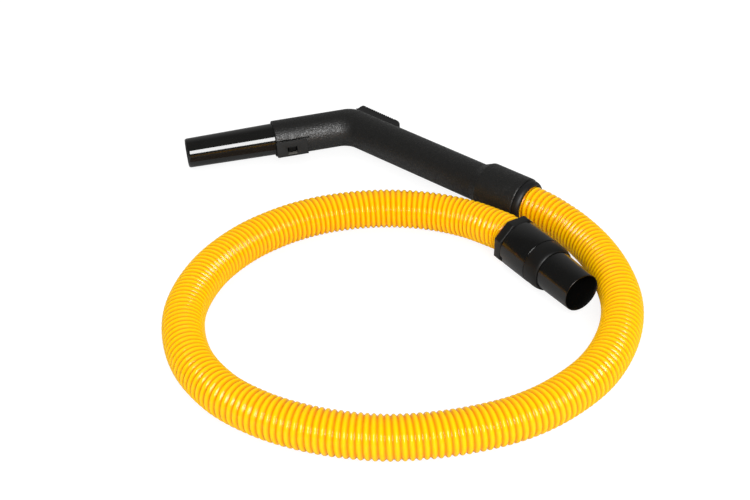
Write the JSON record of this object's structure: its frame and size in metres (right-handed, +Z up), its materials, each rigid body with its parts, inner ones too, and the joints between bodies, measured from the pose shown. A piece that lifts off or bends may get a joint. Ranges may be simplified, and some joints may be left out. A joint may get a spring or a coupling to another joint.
{
  "type": "suction hose set",
  "caption": "Bent hand tube with a bleed-air slider and push-in end pipe, a corrugated suction hose lying in one loop, and a swivelling machine cuff.",
  "frame": {"origin": "on the floor under the middle of the hand tube's box: hand tube, end pipe and the swivel that holds the hose", "axes": "+Z up, +X along the long side of the hand tube's box towards the hose end, +Y away from the hose loop"},
  "size_m": [0.4689, 0.5581, 0.0516],
  "materials": {
    "grained_black": "fine leather-like grain, low sheen",
    "gloss_black": "polished",
    "satin_black": "satin, smooth moulded",
    "matte_black": "matte, softly rounded",
    "hose_yellow": "ribbed, with a soft sheen",
    "acetal": "smooth natural acetal",
    "steel": "bright spring steel",
    "rubber": "matte"
  },
  "bodies": {
    "hose_line": {"hose": "hose_yellow", "swivel_bush": "acetal", "swivel_end_ring": "gloss_black", "hose_nut": "satin_black"},
    "hand": {"hand_tube": "grained_black", "end_pipe": "gloss_black", "end_pipe_seal": "rubber", "latch_housing": "satin_black", "catch_spring": "steel", "spring_rivet": "steel", "tail_snap_ring": "acetal", "tail_seal": "rubber"},
    "regulator": {"regulator_slider": "matte_black", "regulator_shoe": "acetal", "regulator_spring": "steel"},
    "catch": {"catch_button": "satin_black"},
    "cuff": {"cuff_body": "satin_black", "cuff_collar": "matte_black", "cuff_tube": "satin_black", "cuff_snap_ring": "acetal", "cuff_seal": "rubber"}
  },
  "joints": [
    {"name": "hand_swivel", "type": "hinge", "parent": "hose_line", "child": "hand", "pos_m": [0.18134, -0.08682, 0.0257], "axis": [-0.7559, 0.6547, 0], "continuous": true},
    {"name": "regulator_slide", "type": "slide", "parent": "hand", "child": "regulator", "axis": [0.7559, -0.6547, 0], "range_m": [0, 0.018]},
    {"name": "catch_press", "type": "slide", "parent": "hand", "child": "catch", "axis": [-0.2375, 0.9707, 0.0352], "range_m": [0, 0.0035], "stiffness_N_per_m": 1200, "springref_m": -0.001, "deforming": ["catch_spring"]},
    {"name": "cuff_swivel", "type": "hinge", "parent": "hose_line", "child": "cuff", "pos_m": [0.15904, -0.14932, 0.02495], "axis": [0.5299, -0.848, 0], "continuous": true}
  ]
}
